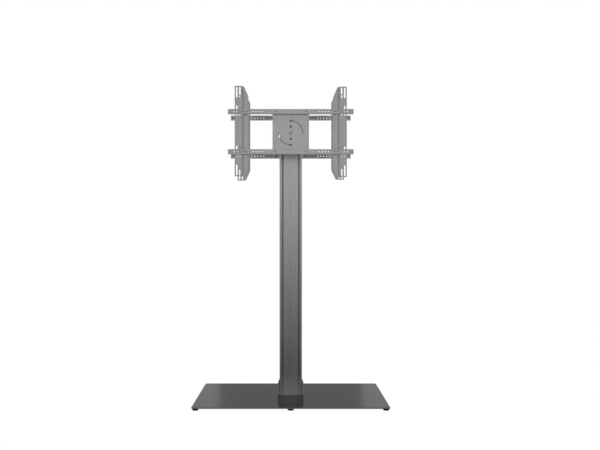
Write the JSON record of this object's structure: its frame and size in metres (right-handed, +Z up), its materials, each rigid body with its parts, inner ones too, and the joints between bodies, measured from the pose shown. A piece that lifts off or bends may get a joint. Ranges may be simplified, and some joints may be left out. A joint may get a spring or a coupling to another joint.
{
  "type": "display floor stand",
  "caption": "Free-standing display floor stand: flat base plate, extruded column and back-to-back mounts that slide in height, turn from landscape to portrait and carry slotted arms.",
  "frame": {"origin": "on the floor, under the middle of the base plate", "axes": "+Z up along the column, -Y towards the front display, +X to the right as seen from the front"},
  "size_m": [0.9, 0.6, 1.511],
  "materials": {
    "base_paint": "gloss powder coat",
    "steel_paint": "satin powder coat",
    "anodised_column": "satin anodised",
    "cover_strip": "satin",
    "rubber": "matte",
    "black_plastic": "matte",
    "grey_plastic": "matte",
    "dark_bolt": "blackened steel"
  },
  "bodies": {
    "stand": {"base_plate": "base_paint", "column_cheek_left": "steel_paint", "column_cheek_right": "steel_paint", "cheek_bolt_left_front": "dark_bolt", "cheek_bolt_left_rear": "dark_bolt", "cheek_bolt_right_front": "dark_bolt", "cheek_bolt_right_rear": "dark_bolt", "column": "anodised_column", "front_cover_strip": "cover_strip", "rear_cover_strip": "cover_strip", "column_top_cap": "black_plastic"},
    "foot_front_left": {"foot_front_left": "rubber"},
    "foot_front_middle": {"foot_front_middle": "rubber"},
    "foot_front_right": {"foot_front_right": "rubber"},
    "foot_rear_left": {"foot_rear_left": "rubber"},
    "foot_rear_middle": {"foot_rear_middle": "rubber"},
    "foot_rear_right": {"foot_rear_right": "rubber"},
    "front_carriage": {"front_carriage": "steel_paint", "front_bearing_disc": "grey_plastic", "front_pivot_bolt": "steel_paint", "front_guide_bolt_upper": "steel_paint", "front_guide_bolt_lower": "steel_paint", "front_slot_clamp_left": "dark_bolt", "front_slot_clamp_right": "dark_bolt"},
    "front_head": {"front_centre_plate": "steel_paint", "front_rail_upper": "steel_paint", "front_rail_lower": "steel_paint", "front_rail_bolt_upper_left": "dark_bolt", "front_rail_bolt_upper_right": "dark_bolt", "front_rail_bolt_lower_left": "dark_bolt", "front_rail_bolt_lower_right": "dark_bolt"},
    "front_arm_left": {"front_arm_left": "steel_paint", "front_arm_bolt_upper_left": "dark_bolt", "front_arm_bolt_lower_left": "dark_bolt"},
    "front_arm_right": {"front_arm_right": "steel_paint", "front_arm_bolt_upper_right": "dark_bolt", "front_arm_bolt_lower_right": "dark_bolt"},
    "rear_carriage": {"rear_carriage": "steel_paint", "rear_bearing_disc": "grey_plastic", "rear_pivot_bolt": "steel_paint", "rear_guide_bolt_upper": "steel_paint", "rear_guide_bolt_lower": "steel_paint", "rear_slot_clamp_left": "dark_bolt", "rear_slot_clamp_right": "dark_bolt"},
    "rear_head": {"rear_centre_plate": "steel_paint", "rear_rail_upper": "steel_paint", "rear_rail_lower": "steel_paint", "rear_rail_bolt_upper_left": "dark_bolt", "rear_rail_bolt_upper_right": "dark_bolt", "rear_rail_bolt_lower_left": "dark_bolt", "rear_rail_bolt_lower_right": "dark_bolt"},
    "rear_arm_left": {"rear_arm_left": "steel_paint", "rear_arm_bolt_upper_left": "dark_bolt", "rear_arm_bolt_lower_left": "dark_bolt"},
    "rear_arm_right": {"rear_arm_right": "steel_paint", "rear_arm_bolt_upper_right": "dark_bolt", "rear_arm_bolt_lower_right": "dark_bolt"}
  },
  "joints": [
    {"name": "foot_front_left_screw", "type": "slide", "parent": "stand", "child": "foot_front_left", "axis": [0, 0, -1], "range_m": [0, 0.004]},
    {"name": "foot_front_middle_screw", "type": "slide", "parent": "stand", "child": "foot_front_middle", "axis": [0, 0, -1], "range_m": [0, 0.004]},
    {"name": "foot_front_right_screw", "type": "slide", "parent": "stand", "child": "foot_front_right", "axis": [0, 0, -1], "range_m": [0, 0.004]},
    {"name": "foot_rear_left_screw", "type": "slide", "parent": "stand", "child": "foot_rear_left", "axis": [0, 0, -1], "range_m": [0, 0.004]},
    {"name": "foot_rear_middle_screw", "type": "slide", "parent": "stand", "child": "foot_rear_middle", "axis": [0, 0, -1], "range_m": [0, 0.004]},
    {"name": "foot_rear_right_screw", "type": "slide", "parent": "stand", "child": "foot_rear_right", "axis": [0, 0, -1], "range_m": [0, 0.004]},
    {"name": "front_height", "type": "slide", "parent": "stand", "child": "front_carriage", "axis": [0, 0, 1], "range_m": [-0.5, 0.02]},
    {"name": "front_turn", "type": "hinge", "parent": "front_carriage", "child": "front_head", "pos_m": [0, -0.0598, 1.2876], "axis": [0, -1, 0], "range_deg": [0, 90]},
    {"name": "front_arm_left_slide", "type": "slide", "parent": "front_head", "child": "front_arm_left", "axis": [-1, 0, 0], "range_m": [-0.1, 0.045]},
    {"name": "front_arm_right_slide", "type": "slide", "parent": "front_head", "child": "front_arm_right", "axis": [1, 0, 0], "range_m": [-0.1, 0.045]},
    {"name": "rear_height", "type": "slide", "parent": "stand", "child": "rear_carriage", "axis": [0, 0, 1], "range_m": [-0.5, 0.02]},
    {"name": "rear_turn", "type": "hinge", "parent": "rear_carriage", "child": "rear_head", "pos_m": [0, 0.1098, 1.2876], "axis": [0, 1, 0], "range_deg": [0, 90]},
    {"name": "rear_arm_left_slide", "type": "slide", "parent": "rear_head", "child": "rear_arm_left", "axis": [1, 0, 0], "range_m": [-0.1, 0.045]},
    {"name": "rear_arm_right_slide", "type": "slide", "parent": "rear_head", "child": "rear_arm_right", "axis": [-1, 0, 0], "range_m": [-0.1, 0.045]}
  ]
}
